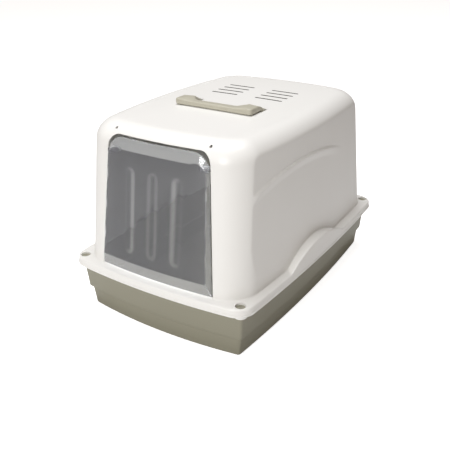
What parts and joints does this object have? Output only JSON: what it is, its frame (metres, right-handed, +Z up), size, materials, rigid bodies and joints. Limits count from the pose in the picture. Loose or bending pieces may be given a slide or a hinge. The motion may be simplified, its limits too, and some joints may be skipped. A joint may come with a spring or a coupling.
{
  "type": "covered litter box",
  "caption": "Covered cat litter box with a deep tray, a lift-off vented hood, a clear swing door, a folding carry handle and a hinged filter cover.",
  "frame": {"origin": "centre of the box in plan, at the underside of the tray, on the floor", "axes": "+Z up; +Y from the entrance to the back, along the longest side; +X to the right seen from the entrance"},
  "size_m": [0.3798, 0.56, 0.363],
  "materials": {
    "hood_white": "moulded polypropylene with a soft gloss",
    "cover_white": "moulded polypropylene, satin",
    "pin_white": "moulded nylon, satin",
    "tray_taupe": "moulded polypropylene, satin, fine grain",
    "handle_taupe": "moulded polypropylene, satin",
    "door_clear": "clear smoky styrene, glossy",
    "filter_black": "carbon-filled open foam mat"
  },
  "bodies": {
    "tray": {"litter_tray": "tray_taupe"},
    "hood": {"hood_shell": "hood_white", "door_pin_left": "pin_white", "door_pin_right": "pin_white"},
    "door": {"door_flap": "door_clear"},
    "handle": {"carry_handle": "handle_taupe"},
    "filter": {"filter_cover": "cover_white", "carbon_filter": "filter_black"}
  },
  "joints": [
    {"name": "hood_lift", "type": "slide", "parent": "tray", "child": "hood", "axis": [0, 0, 1], "range_m": [0, 0.12]},
    {"name": "door_swing", "type": "hinge", "parent": "hood", "child": "door", "pos_m": [0, -0.2279, 0.3095], "axis": [1, 0, 0], "range_deg": [-75, 70]},
    {"name": "handle_lift", "type": "hinge", "parent": "hood", "child": "handle", "pos_m": [0, -0.038, 0.347], "axis": [-1, 0, 0], "range_deg": [0, 90]},
    {"name": "filter_drop", "type": "hinge", "parent": "hood", "child": "filter", "pos_m": [0, 0.118, 0.343], "axis": [1, 0, 0], "range_deg": [0, 80]}
  ]
}
